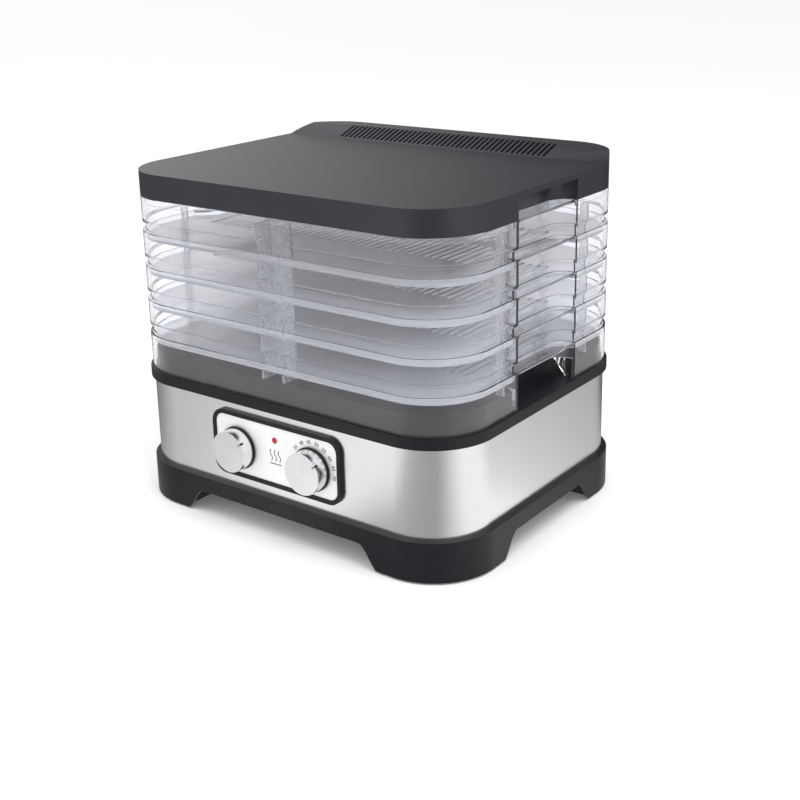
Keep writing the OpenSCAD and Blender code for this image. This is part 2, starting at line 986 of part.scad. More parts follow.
module thermostat_bulb() {
  tube_y = bracket_back + 18;
  color([0.72, 0.45, 0.3]) {
    wire([
      [knob_x, tube_y, knob_z + 17],
      [knob_x, tube_y, bulb_z],
      [knob_x, bulb_y, bulb_z],
      [knob_x - 10, bulb_y, bulb_z]
    ], 1);
    translate([knob_x - 50, bulb_y, bulb_z])
      rotate([0, 90, 0])
        cylinder(h = 42, r = 3);
  }
}

// ---- Fan and heater ----

module motor_bracket() {
  color(zinc)
    translate([0, 0, bracket_z])
      linear_extrude(2)
        difference() {
          union() {
            circle(r = motor_r + 6);
            for (a = [45, 135])
              rotate([0, 0, a])
                square([2 * support_r + 10, 14], center = true);
          }
          circle(r = 6);
          for (a = [45 : 90 : 315])
            rotate([0, 0, a])
              translate([support_r, 0])
                circle(r = small_screw_r);
        }
}

module motor_screws() {
  color(zinc)
    for (a = [45 : 90 : 315])
      rotate([0, 0, a])
        screw_down(support_r, 0, bracket_z + 2, small_screw_r, 7, 2.8, 1.8);
}

module fan_motor() {
  core = [62, 46, 16];
  color([0.45, 0.46, 0.48])
    difference() {
      union() {
        translate([0, 0, motor_z])
          cylinder(h = motor_h, r = motor_r);
        translate([-core[0] / 2, -core[1] / 2, motor_z + 6])
          cube(core);
      }
      translate([0, 0, motor_z + 4])
        cylinder(h = motor_h, r = motor_shaft_r + run_gap);
    }
}

module motor_shaft() {
  color(zinc)
    translate([0, 0, motor_z + 4.5])
      cylinder(h = blade_z + fan_h - motor_z - 6, r = motor_shaft_r);
}

module fan_impeller() {
  hub_r = 13;
  pitch_deg = 32;
  color([0.6, 0.62, 0.64])
    difference() {
      intersection() {
        union() {
          cylinder(h = 200, r = hub_r);
          for (i = [0 : fan_blades - 1])
            rotate([0, 0, i * 360 / fan_blades])
              translate([hub_r / 2, 0, blade_z + fan_h / 2])
                rotate([pitch_deg, 0, 0])
                  cube([2 * fan_r, 28, 1.8]);
        }
        translate([0, 0, blade_z])
          cylinder(h = fan_h, r = fan_r);
      }
      translate([0, 0, blade_z - 1])
        cylinder(h = fan_h - 0.5, r = motor_shaft_r);
    }
}

module fan_shroud() {
  ring_h = shroud_top - shroud_z;
  color(charcoal)
    difference() {
      union() {
        translate([0, 0, shroud_z])
          cylinder(h = ring_h, r = shroud_in + shroud_t);
        for (a = [0 : 90 : 270])
          rotate([0, 0, a]) {
            translate([support_r, 0, pan_top])
              cylinder(h = shroud_z + 4 - pan_top, r = 4);
            translate([shroud_in + 1, -4, shroud_z])
              cube([support_r - shroud_in - 1, 8, 4]);
          }
      }
      translate([0, 0, shroud_z - 1])
        cylinder(h = ring_h + 2, r = shroud_in);
    }
}

module heat_shield() {
  color([0.75, 0.76, 0.77])
    difference() {
      union() {
        translate([0, 0, shield_z])
          cylinder(h = flange_z - shield_z + shield_t / 2, r = shield_r);
        translate([0, 0, flange_z])
          cylinder(h = shield_t, r = flange_r);
      }
      translate([0, 0, shield_z - 1])
        cylinder(h = flange_z - shield_z + 3, r = shield_r - shield_t);
      for (a = [45 : 90 : 315])
        rotate([0, 0, a])
          translate([shield_screw_r, 0, flange_z - 1])
            cylinder(h = shield_t + 2, r = small_screw_r);
      rod_y(knob_x, bulb_z, -shield_r - 10, bulb_y, 1.6);
    }
}

module shield_screws() {
  color(zinc)
    for (a = [45 : 90 : 315])
      rotate([0, 0, a])
        screw_up(shield_screw_r, 0, flange_z, small_screw_r, 3.6, 2.8, 1.8);
}

// One ring of the heating coil
module coil_ring(radius, wire_r) {
  translate([0, 0, board_z + board_h / 2])
    rotate_extrude()
      translate([radius, 0])
        circle(r = wire_r);
}

module heater_frame() {
  length = 2 * (shield_r - shield_t) - 1;
  color([0.78, 0.7, 0.5])
    difference() {
      for (a = [45, 135])
        rotate([0, 0, a])
          translate([-length / 2, -board_t / 2, board_z])
            cube([length, board_t, board_h]);
      for (radius = coil_rings)
        coil_ring(radius, coil_r + 0.2);
    }
}

module heating_element() {
  color([0.55, 0.4, 0.35])
    for (radius = coil_rings)
      coil_ring(radius, coil_r);
}

module thermal_fuse() {
  fuse_r = 2;
  color([0.85, 0.84, 0.8])
    rotate([0, 0, 45])
      translate([12, 0, board_z + board_h + fuse_r])
        rotate([0, 90, 0])
          cylinder(h = 14, r = fuse_r);
}

// ---- Electrical connections ----

block_size = [30, 14, 14];
block_at = [gland_x - 45, stack_d / 2 - 36, pan_top];

module terminal_block() {
  color([0.9, 0.9, 0.88])
    difference() {
      translate(block_at)
        cube(block_size);
      for (i = [0 : 2])
        translate([block_at[0] + 5 + 10 * i, block_at[1] + block_size[1] / 2, block_at[2] + 6])
          cylinder(h = 10, r = 2.5);
    }
}

function unit(v) = v / norm(v);

// Ring of points round one point of a route, square to the route there
function tube_ring(route, i, r, sides) =
  let (
    ahead = route[min(i + 1, len(route) - 1)],
    behind = route[max(i - 1, 0)],
    along = unit(ahead - behind),
    across = unit(cross(along, [0.5, 0.3, 0.8])),
    up = cross(across, along)
  )
  [for (k = [0 : sides - 1])
    route[i] + r * (cos(360 * k / sides) * across + sin(360 * k / sides) * up)];

// Closed tube swept along a route
module tube(route, r) {
  sides = 8;
  last = len(route) - 1;
  points = [for (i = [0 : last]) each tube_ring(route, i, r, sides)];
  walls = [for (i = [0 : last - 1], k = [0 : sides - 1], half = [0, 1])
    let (
      near = i * sides,
      far = near + sides,
      n = (k + 1) % sides
    )
    half == 0 ? [near + k, far + n, near + n] : [near + k, far + k, far + n]];
  ends = [[for (k = [0 : sides - 1]) k], [for (k = [sides - 1 : -1 : 0]) last * sides + k]];
  polyhedron(points, concat(walls, ends));
}

module internal_wiring() {
  run_z = pan_top + 7;
  run_x = pillar_x - 16;
  start = [block_at[0] + block_size[0] / 2, block_at[1], run_z];
  color([0.75, 0.15, 0.12]) {
    tube([
      start,
      start + [0, -4, 0],
      [run_x, pillar_y - 14, run_z],
      [run_x, -pillar_y + 14, run_z],
      [knob_x + 4, bracket_back + 20, run_z],
      [knob_x, bracket_back + 20, run_z + 4],
      [knob_x, bracket_back + 20, knob_z - 17]
    ], 1.2);
    tube([
      start + [6, 0, 4],
      start + [6, -4, 4],
      [run_x + 5, pillar_y - 14, run_z + 4],
      [run_x + 5, -pillar_y + 14, run_z + 4],
      [knob_x + 9, bracket_back + 14, run_z - 2],
      [-knob_x + 4, bracket_back + 14, run_z - 2],
      [-knob_x, bracket_back + 14, run_z + 2],
      [-knob_x, bracket_back + 14, knob_z - 21.9]
    ], 1.2);
  }
}

module cord_gland() {
  back = stack_d / 2 - steel_in;
  color(black)
    difference() {
      union() {
        rod_y(gland_x, gland_z, back - 5, back + 1, gland_neck_r);
        rod_y(gland_x, gland_z, back - steel_t - 3, back - steel_t, 9);
        rod_y(gland_x, gland_z, back, back + 3, 10);
        rod_y(gland_x, gland_z, back + 2, -knob_front, gland_neck_r);
      }
      rod_y(gland_x, gland_z, back - 6, 1 - knob_front, gland_bore_r);
    }
}

module tray_1() {
  tray(1);
}

module tray_2() {
  tray(2);
}

module tray_3() {
  tray(3);
}

module tray_4() {
  tray(4);
}

lid_shell();
lid_liner();
lid_screws();
tray_1();
tray_2();
tray_3();
tray_4();
base_collar();
top_deck();
outlet_grille();
steel_shell();
lower_housing();
inlet_grille();
rubber_feet();
housing_screws();
panel_bezel();
panel_plate();
indicator_lens();
indicator_lamp();
control_bracket();
bracket_screws();
timer_module();
timer_nut();
timer_shaft();
timer_knob_core();
timer_knob_cap();
timer_pointer();
thermostat_module();
thermostat_nut();
thermostat_shaft();
thermostat_knob_core();
thermostat_knob_cap();
thermostat_pointer();
thermostat_bulb();
motor_bracket();
motor_screws();
fan_motor();
motor_shaft();
fan_impeller();
fan_shroud();
heat_shield();
shield_screws();
heater_frame();
heating_element();
thermal_fuse();
terminal_block();
internal_wiring();
cord_gland();
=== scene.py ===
"""Looks of the stacking food dehydrator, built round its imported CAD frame. Lengths are in metres."""
import json
import math

import bmesh
import bpy
from mathutils import Matrix, Vector


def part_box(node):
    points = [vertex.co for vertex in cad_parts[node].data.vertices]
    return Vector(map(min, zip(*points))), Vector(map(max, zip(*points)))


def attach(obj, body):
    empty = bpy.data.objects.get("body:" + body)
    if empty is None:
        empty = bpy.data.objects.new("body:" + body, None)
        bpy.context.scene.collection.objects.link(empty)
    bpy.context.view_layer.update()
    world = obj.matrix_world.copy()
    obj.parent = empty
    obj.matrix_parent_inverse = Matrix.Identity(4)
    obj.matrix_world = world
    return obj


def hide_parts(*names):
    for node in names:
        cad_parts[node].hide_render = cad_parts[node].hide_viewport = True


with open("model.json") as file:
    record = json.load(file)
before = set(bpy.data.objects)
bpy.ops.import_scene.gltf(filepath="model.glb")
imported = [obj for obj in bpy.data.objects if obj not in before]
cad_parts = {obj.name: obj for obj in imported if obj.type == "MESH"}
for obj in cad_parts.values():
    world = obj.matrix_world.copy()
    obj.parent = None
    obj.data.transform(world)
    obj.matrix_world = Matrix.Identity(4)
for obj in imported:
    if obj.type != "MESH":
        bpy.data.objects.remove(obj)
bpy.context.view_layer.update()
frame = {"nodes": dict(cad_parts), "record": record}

MM = 0.001

# ---- Sizes that repeat the CAD's driving dimensions ----
RADIUS = 50 * MM
GRIP_LEN = 85 * MM
GRIP_DEPTH = 17 * MM
WALL = 2 * MM
NEST_GAP = 0.3 * MM
NEST = 6 * MM
NOTCH = 7.1 * MM
FLOOR_T = 2.2 * MM
SLOT_W = 3.5 * MM
SLOT_PITCH = 7 * MM
SLOT_ROWS = 4
SLOT_BAR = 5 * MM
SLOT_MARGIN = 11 * MM
POST_W = 22 * MM
POST_IN = 18 * MM
RIB = 1.6 * MM
SIDE_RIB_PAST = 18 * MM
SIDE_RIB_LEN = 7 * MM
BAR_T = 2 * MM

# How far a finger bar runs into the recess's wall, and how far it stays short of the side
BAR_ROOT = 0.8 * MM
BAR_SHORT = 0.2 * MM

low_corner, high_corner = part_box("tray_1")
WIDTH = high_corner[0] - low_corner[0]
DEPTH = high_corner[1] - low_corner[1]
RIM_1 = high_corner[2]
PITCH = RIM_1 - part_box("tray_2")[1][2]
LOW_IN = WALL + NEST_GAP
BAND_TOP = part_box("base_collar")[0][2]
COLLAR_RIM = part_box("base_collar")[1][2]
PLINTH_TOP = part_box("outlet_grille")[1][2]
PLATE_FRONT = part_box("panel_plate")[0][1]
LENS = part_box("indicator_lens")


def middle(node):
    """Middle of a CAD node's box."""
    low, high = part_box(node)
    return [(a + b) / 2 for a, b in zip(low, high)]


# ---- Materials ----

def new_material(name):
    """A material with one Principled shader. Returns the material, its node tree and the shader."""
    mat = bpy.data.materials.new(name)
    mat.use_nodes = True
    tree = mat.node_tree
    tree.nodes.clear()
    out = tree.nodes.new("ShaderNodeOutputMaterial")
    shader = tree.nodes.new("ShaderNodeBsdfPrincipled")
    tree.links.new(shader.outputs[0], out.inputs[0])
    return mat, tree, shader


def object_coords(tree, scale=(1, 1, 1)):
    """Object coordinates, scaled separately along each axis."""
    coord = tree.nodes.new("ShaderNodeTexCoord")
    mapping = tree.nodes.new("ShaderNodeMapping")
    mapping.inputs["Scale"].default_value = scale
    tree.links.new(coord.outputs["Object"], mapping.inputs["Vector"])
    return mapping.outputs[0]


def noise(tree, vector, scale, detail=2.0, roughness=0.5):
    node = tree.nodes.new("ShaderNodeTexNoise")
    node.inputs["Scale"].default_value = scale
    node.inputs["Detail"].default_value = detail
    node.inputs["Roughness"].default_value = roughness
    tree.links.new(vector, node.inputs["Vector"])
    return node.outputs["Fac"]


def spread(tree, value, low, high, start=0.3, end=0.7):
    """Maps a noise value onto the range low to high."""
    node = tree.nodes.new("ShaderNodeMapRange")
    node.inputs["From Min"].default_value = start
    node.inputs["From Max"].default_value = end
    node.inputs["To Min"].default_value = low
    node.inputs["To Max"].default_value = high
    tree.links.new(value, node.inputs["Value"])
    return node.outputs[0]


def two_tone(tree, value, dark, light):
    node = tree.nodes.new("ShaderNodeMix")
    node.data_type = "RGBA"
    node.inputs["A"].default_value = (*dark, 1)
    node.inputs["B"].default_value = (*light, 1)
    tree.links.new(value, node.inputs["Factor"])
    return node.outputs["Result"]


def bump(tree, height, strength, distance, normal=None):
    node = tree.nodes.new("ShaderNodeBump")
    node.inputs["Strength"].default_value = strength
    node.inputs["Distance"].default_value = distance
    tree.links.new(height, node.inputs["Height"])
    if normal is not None:
        tree.links.new(normal, node.inputs["Normal"])
    return node.outputs[0]


def moulded(name, dark, light, rough=(0.35, 0.45), grain=1800, grain_depth=0.00003, specular=0.5):
    """Moulded plastic with a fine spark-eroded grain and a faint unevenness of tone."""
    mat, tree, shader = new_material(name)
    coords = object_coords(tree)
    fine = noise(tree, coords, grain, 2.0)
    broad = noise(tree, coords, 18, 3.0)
    tree.links.new(two_tone(tree, spread(tree, broad, 0, 1), dark, light), shader.inputs["Base Color"])
    tree.links.new(spread(tree, fine, *rough), shader.inputs["Roughness"])
    tree.links.new(bump(tree, fine, 0.5, grain_depth), shader.inputs["Normal"])
    shader.inputs["Specular IOR Level"].default_value = specular
    return mat


def brushed(name, dark, light, rough=(0.2, 0.34), streak=(3, 3, 700), anisotropic=0.5, depth=0.00002,
            metallic=1.0):
    """Brushed sheet metal with streaks across the direction that is scaled most."""
    mat, tree, shader = new_material(name)
    streaks = noise(tree, object_coords(tree, streak), 1.0, 4.0, 0.6)
    broad = noise(tree, object_coords(tree), 9, 2.0)
    tree.links.new(two_tone(tree, spread(tree, streaks, 0, 1), dark, light), shader.inputs["Base Color"])
    tree.links.new(spread(tree, streaks, *rough), shader.inputs["Roughness"])
    tree.links.new(bump(tree, streaks, 0.35, depth), shader.inputs["Normal"])
    shader.inputs["Metallic"].default_value = metallic
    shader.inputs["Anisotropic"].default_value = anisotropic
    return mat


def metal(name, dark, light, rough=(0.25, 0.4), grain=260):
    """Plain plated or cast metal with slight blotches."""
    mat, tree, shader = new_material(name)
    blotch = noise(tree, object_coords(tree), grain, 4.0)
    tree.links.new(two_tone(tree, spread(tree, blotch, 0, 1), dark, light), shader.inputs["Base Color"])
    tree.links.new(spread(tree, blotch, *rough), shader.inputs["Roughness"])
    tree.links.new(bump(tree, blotch, 0.2, 0.00003), shader.inputs["Normal"])
    shader.inputs["Metallic"].default_value = 1.0
    return mat


# Colour of the milkiness in clear plastic, and of the light that gets through it
MILK = (0.95, 0.955, 0.97, 1)


def clear_plastic(name, tint, rough=(0.01, 0.03), milk=0.01, pebble=0.0):
    """Clear moulded plastic that lets lamps through, with a little milkiness and a faintly wavy surface."""
    mat, tree, shader = new_material(name)
    coords = object_coords(tree)
    wave = noise(tree, coords, 28, 1.0)
    fine = noise(tree, coords, 420, 2.0)
    tree.links.new(spread(tree, fine, *rough), shader.inputs["Roughness"])
    normal = bump(tree, wave, 0.06, 0.0003)
    if pebble:
        cells = tree.nodes.new("ShaderNodeTexVoronoi")
        cells.inputs["Scale"].default_value = 420
        tree.links.new(coords, cells.inputs["Vector"])
        normal = bump(tree, cells.outputs["Distance"], pebble, 0.0008, normal)
    tree.links.new(normal, shader.inputs["Normal"])
    shader.inputs["Base Color"].default_value = (*tint, 1)
    shader.inputs["Transmission Weight"].default_value = 1.0
    shader.inputs["IOR"].default_value = 1.45
    frost = tree.nodes.new("ShaderNodeBsdfDiffuse")
    frost.inputs["Color"].default_value = MILK
    milky = tree.nodes.new("ShaderNodeMixShader")
    milky.inputs[0].default_value = milk
    through = tree.nodes.new("ShaderNodeBsdfTransparent")
    through.inputs[0].default_value = MILK
    path = tree.nodes.new("ShaderNodeLightPath")
    lamp_mix = tree.nodes.new("ShaderNodeMixShader")
    out = next(n for n in tree.nodes if n.type == "OUTPUT_MATERIAL")
    tree.links.new(shader.outputs[0], milky.inputs[1])
    tree.links.new(frost.outputs[0], milky.inputs[2])
    tree.links.new(path.outputs["Is Shadow Ray"], lamp_mix.inputs[0])
    tree.links.new(milky.outputs[0], lamp_mix.inputs[1])
    tree.links.new(through.outputs[0], lamp_mix.inputs[2])
    tree.links.new(lamp_mix.outputs[0], out.inputs[0])
    return mat


def spun_chrome(name):
    """Turned and polished metal of a knob's cap."""
    mat, tree, shader = new_material(name)
    fine = noise(tree, object_coords(tree), 900, 2.0)
    tree.links.new(spread(tree, fine, 0.2, 0.28), shader.inputs["Roughness"])
    tree.links.new(two_tone(tree, spread(tree, fine, 0, 1), (0.8, 0.82, 0.84), (0.9, 0.91, 0.92)),
                   shader.inputs["Base Color"])
    shader.inputs["Metallic"].default_value = 1.0
    shader.inputs["Anisotropic"].default_value = 0.75
    tangent = tree.nodes.new("ShaderNodeTangent")
    tangent.direction_type = "RADIAL"
    tangent.axis = "Y"
    tree.links.new(tangent.outputs[0], shader.inputs["Tangent"])
    return mat


def red_lens(name):
    mat, tree, shader = new_material(name)
    facets = noise(tree, object_coords(tree), 700, 1.0)
    tree.links.new(two_tone(tree, spread(tree, facets, 0, 1), (0.3, 0.004, 0.006), (0.5, 0.008, 0.012)),
                   shader.inputs["Base Color"])
    shader.inputs["Roughness"].default_value = 0.12
    shader.inputs["Coat Weight"].default_value = 0.4
    return mat


TINT = (0.962, 0.967, 0.985)
MATS = {
    "charcoal_lid": moulded("charcoal_lid", (0.017, 0.0195, 0.024), (0.02, 0.023, 0.029),
                            (0.28, 0.34), specular=0.45),
    "clear_plastic": clear_plastic("clear_plastic", TINT),
    "floor_plastic": clear_plastic("floor_plastic", TINT, (0.02, 0.06), 0.34),
    "frosted_plastic": clear_plastic("frosted_plastic", TINT, (0.15, 0.3), 0.2, 0.12),
    "black_plastic": moulded("black_plastic", (0.009, 0.01, 0.012), (0.013, 0.014, 0.017),
                             (0.3, 0.38), specular=0.22),
    "stainless": brushed("stainless", (0.86, 0.862, 0.865), (0.9, 0.9, 0.9), (0.22, 0.27),
                         (2, 2, 1400), 0.4, 0.000004),
    "rubber_pad": moulded("rubber_pad", (0.01, 0.01, 0.01), (0.02, 0.02, 0.02), (0.7, 0.85), 900),
    "zinc_steel": metal("zinc_steel", (0.5, 0.51, 0.53), (0.66, 0.67, 0.69)),
    "face_plate": brushed("face_plate", (0.94, 0.945, 0.945), (0.965, 0.97, 0.97), (0.36, 0.42),
                          (500, 3, 3), 0.2, metallic=0.3),
    "knob_chrome": spun_chrome("knob_chrome"),
    "red_lens": red_lens("red_lens"),
    "lamp_glass": clear_plastic("lamp_glass", (0.95, 0.8, 0.65)),
    "cream_plastic": moulded("cream_plastic", (0.62, 0.58, 0.47), (0.7, 0.66, 0.55)),
    "brown_phenolic": moulded("brown_phenolic", (0.1, 0.05, 0.025), (0.15, 0.08, 0.04)),
    "copper_tube": metal("copper_tube", (0.6, 0.28, 0.15), (0.75, 0.4, 0.25)),
    "lamination": brushed("lamination", (0.2, 0.2, 0.21), (0.4, 0.4, 0.42), (0.35, 0.5),
                          (4, 4, 2600)),
    "fan_alloy": metal("fan_alloy", (0.55, 0.56, 0.57), (0.68, 0.69, 0.7)),
    "shield_alloy": metal("shield_alloy", (0.6, 0.61, 0.62), (0.75, 0.76, 0.77), (0.2, 0.35), 40),
    "mica_board": moulded("mica_board", (0.45, 0.36, 0.2), (0.62, 0.52, 0.33), (0.4, 0.6), 300),
    "heating_wire": metal("heating_wire", (0.12, 0.09, 0.08), (0.3, 0.22, 0.18), (0.4, 0.6), 500),
    "white_ceramic": moulded("white_ceramic", (0.72, 0.71, 0.66), (0.8, 0.79, 0.75),
                             (0.12, 0.22), 600),
    "wire_sleeve": moulded("wire_sleeve", (0.3, 0.015, 0.012), (0.42, 0.03, 0.025),
                           (0.3, 0.4), 700),
    "print_ink": moulded("print_ink", (0.03, 0.03, 0.032), (0.045, 0.045, 0.048),
                         (0.4, 0.55), 1500),
}


# ---- Mesh helpers ----

def finish_mesh(mesh, name, body, slot, material=None, sharp_deg=32, replaces=()):
    """Makes a piece of the object from a mesh: shading, material (the slot's unless one is given), body,
    and hides the CAD nodes that it replaces.
    """
    mesh.polygons.foreach_set("use_smooth", [True] * len(mesh.polygons))
    mesh.set_sharp_from_angle(angle=math.radians(sharp_deg))
    mesh.materials.clear()
    mesh.materials.append(MATS[material or slot])
    piece = bpy.data.objects.new(name, mesh)
    bpy.context.scene.collection.objects.link(piece)
    flat = piece.modifiers.new("even_faces", "WEIGHTED_NORMAL")
    flat.keep_sharp = True
    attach(piece, body)
    if replaces:
        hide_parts(*replaces)
    return piece


def bm_to_mesh(bm, name):
    bmesh.ops.recalc_face_normals(bm, faces=bm.faces)
    mesh = bpy.data.meshes.new(name)
    bm.to_mesh(mesh)
    bm.free()
    return mesh


def softened(node, width, segments=2, min_deg=30, wanted=None):
    """Copy of a CAD node's mesh with its sharp edges rounded."""
    bm = bmesh.new()
    bm.from_mesh(frame["nodes"][node].data)
    bmesh.ops.remove_doubles(bm, verts=bm.verts, dist=0.002 * MM)
    bmesh.ops.dissolve_limit(bm, angle_limit=math.radians(0.4), verts=bm.verts, edges=bm.edges)
    edges = []
    for edge in bm.edges:
        if len(edge.link_faces) == 2 and edge.calc_face_angle(0) > math.radians(min_deg):
            if wanted is None or wanted(edge):
                edges.append(edge)
    bmesh.ops.bevel(bm, geom=edges, offset=width, segments=segments, profile=0.5,
                    affect="EDGES", clamp_overlap=True)
    return bm_to_mesh(bm, node)


def arc(cx, cy, r, start, end, steps):
    """Points along an arc, both ends included. Angles are in degrees."""
    points = []
    for i in range(steps + 1):
        a = math.radians(start + (end - start) * i / steps)
        points.append((cx + r * math.cos(a), cy + r * math.sin(a)))
    return points


def grip_side(inset):
    """Right-hand side of the stack going towards +Y, round its hand recess."""
    reach = GRIP_DEPTH + inset
    end_y = GRIP_LEN / 2 - GRIP_DEPTH
    lean = math.degrees(math.acos(-inset / reach))
    first = arc(WIDTH / 2, -end_y, reach, -lean, -180, 10)
    last = arc(WIDTH / 2, end_y, reach, 180, lean, 10)
    return first + last


def outline(inset=0.0, steps=18):
    """Loop round the stack, counter-clockwise seen from above, moved in by inset."""
    x = WIDTH / 2 - RADIUS
    y = DEPTH / 2 - RADIUS
    r = RADIUS - inset
    side = grip_side(inset)
    opposite = [(-px, -py) for px, py in side]
    return (side + arc(x, y, r, 0, 90, steps) + arc(-x, y, r, 90, 180, steps)
            + opposite + arc(-x, -y, r, 180, 270, steps) + arc(x, -y, r, 270, 360, steps))


def rounded_profile(corners, steps=3):
    """Closed profile of (inset, z) points from (inset, z, fillet radius) corners."""
    points = []
    count = len(corners)
    for i, (x, z, r) in enumerate(corners):
        here = Vector((x, z))
        back = (Vector(corners[i - 1][:2]) - here)
        ahead = (Vector(corners[(i + 1) % count][:2]) - here)
        if r <= 0:
            points.append((x, z))
            continue
        back.normalize()
        ahead.normalize()
        half = back.angle(ahead) / 2
        reach = r / math.tan(half)
        p0 = here + back * reach
        p2 = here + ahead * reach
        for k in range(steps + 1):
            t = k / steps
            p = p0 * (1 - t) ** 2 + here * (2 * t * (1 - t)) + p2 * t ** 2
            points.append((p.x, p.y))
    return points


def swept(profile, name):
    """Closed wall whose section is the profile, carried round the outline."""
    bm = bmesh.new()
    rings = []
    for inset, z in profile:
        rings.append([bm.verts.new((x, y, z)) for x, y in outline(inset)])
    count = len(rings[0])
    for i, ring in enumerate(rings):
        after = rings[(i + 1) % len(rings)]
        for k in range(count):
            n = (k + 1) % count
            bm.faces.new((ring[k], ring[n], after[n], after[k]))
    return bm_to_mesh(bm, name)


def flat_solid(loops, z0, z1, edge, name):
    """Slab between two heights with rounded edges.

    The first loop is solid and the rest are holes."""
    curve = bpy.data.curves.new(name, "CURVE")
    curve.dimensions = "2D"
    curve.fill_mode = "BOTH"
    curve.extrude = (z1 - z0) / 2 - edge
    curve.bevel_depth = edge
    curve.bevel_resolution = 1
    curve.offset = -edge
    for loop in loops:
        spline = curve.splines.new("POLY")
        spline.points.add(len(loop) - 1)
        for point, (x, y) in zip(spline.points, loop):
            point.co = (x, y, 0, 1)
        spline.use_cyclic_u = True
    holder = bpy.data.objects.new(name, curve)
    bpy.context.scene.collection.objects.link(holder)
    graph = bpy.context.evaluated_depsgraph_get()
    mesh = bpy.data.meshes.new_from_object(holder.evaluated_get(graph))
    bpy.data.objects.remove(holder)
    bpy.data.curves.remove(curve)
    mesh.transform(Matrix.Translation((0, 0, (z0 + z1) / 2)))
    bm = bmesh.new()
    bm.from_mesh(mesh)
    bmesh.ops.remove_doubles(bm, verts=bm.verts, dist=0.005 * MM)
    bpy.data.meshes.remove(mesh)
    return bm_to_mesh(bm, name)


def joined(meshes, name):
    """One mesh from several, which are then removed."""
    bm = bmesh.new()
    for mesh in meshes:
        bm.from_mesh(mesh)
        bpy.data.meshes.remove(mesh)
    mesh = bpy.data.meshes.new(name)
    bm.to_mesh(mesh)
    bm.free()
    return mesh


def box_mesh(low, high, edge, name):
    """Box with rounded edges."""
    bm = bmesh.new()
    bmesh.ops.create_cube(bm, size=1)
    size = [h - l for l, h in zip(low, high)]
    centre = [(h + l) / 2 for l, h in zip(low, high)]
    bmesh.ops.scale(bm, vec=size, verts=bm.verts)
    bmesh.ops.translate(bm, vec=centre, verts=bm.verts)
    bmesh.ops.bevel(bm, geom=bm.edges[:], offset=edge, segments=2, profile=0.5, affect="EDGES")
    return bm_to_mesh(bm, name)


# ---- Camera and light ----

# Height of the point that the lamps face, and that the camera's place is measured from
AIM_HEIGHT = 0.15

# Azimuth and elevation in degrees: where the camera stands, seen from that point, and the
# direction that it faces back along
CAMERA_STANDS = (38.075, 16.814)
CAMERA_FACES = (36.977, 16.227)
CAMERA_ROLL = -1.226
CAMERA_DISTANCE = 1.0472
CAMERA_LENS = 56.86
CAMERA_SHIFT = -0.125

# Azimuth in degrees and grey level of the cards that glossy parts mirror
SKY_CARDS = [(-180, 0.12), (-150, 0.14), (-130, 0.85), (-75, 0.4), (-52, 0.6), (-36, 0.9),
             (-6, 0.95), (8, 0.6), (34, 0.55), (50, 0.95), (98, 1.0), (126, 0.72), (150, 0.4),
             (168, 0.15), (180, 0.12)]
FLOOR_CARDS = [(-180, 0.1), (-92, 0.16), (-66, 0.34), (-45, 0.55), (-30, 0.78), (-12, 0.99), (0, 0.95),
               (14, 0.5), (30, 0.4), (47, 0.36), (60, 0.75), (70, 1.0), (94, 1.02), (106, 0.78),
               (118, 0.66), (130, 0.55), (142, 0.42), (155, 0.12), (180, 0.1)]


def direction(azimuth, elevation):
    """Unit vector from the object towards a viewer; azimuth 0 looks along +Y."""
    a, e = math.radians(azimuth), math.radians(elevation)
    return Vector((math.sin(a) * math.cos(e), -math.cos(a) * math.cos(e), math.sin(e)))


def add_camera():
    back = direction(*CAMERA_FACES)
    turn = math.radians(CAMERA_FACES[0])
    right = Vector((math.cos(turn), math.sin(turn), 0))
    up = back.cross(right)
    roll = math.radians(CAMERA_ROLL)
    side = right * math.cos(roll) + up * math.sin(roll)
    top = up * math.cos(roll) - right * math.sin(roll)
    data = bpy.data.cameras.new("view")
    data.lens = CAMERA_LENS
    data.sensor_width = 36
    data.shift_y = CAMERA_SHIFT
    camera = bpy.data.objects.new("view", data)
    bpy.context.scene.collection.objects.link(camera)
    place = Matrix((side, top, back)).transposed().to_4x4()
    place.translation = Vector((0, 0, AIM_HEIGHT)) + direction(*CAMERA_STANDS) * CAMERA_DISTANCE
    camera.matrix_world = place
    bpy.context.scene.camera = camera


def add_area(name, azimuth, elevation, distance, size, power):
    """Soft lamp that faces the object's middle."""
    data = bpy.data.lights.new(name, "AREA")
    data.shape = "RECTANGLE"
    data.size, data.size_y = size
    data.energy = power
    lamp = bpy.data.objects.new(name, data)
    bpy.context.scene.collection.objects.link(lamp)
    aim = direction(azimuth, elevation)
    lamp.location = Vector((0, 0, AIM_HEIGHT)) + aim * distance
    lamp.rotation_mode = "QUATERNION"
    lamp.rotation_quaternion = aim.to_track_quat("Z", "Y")


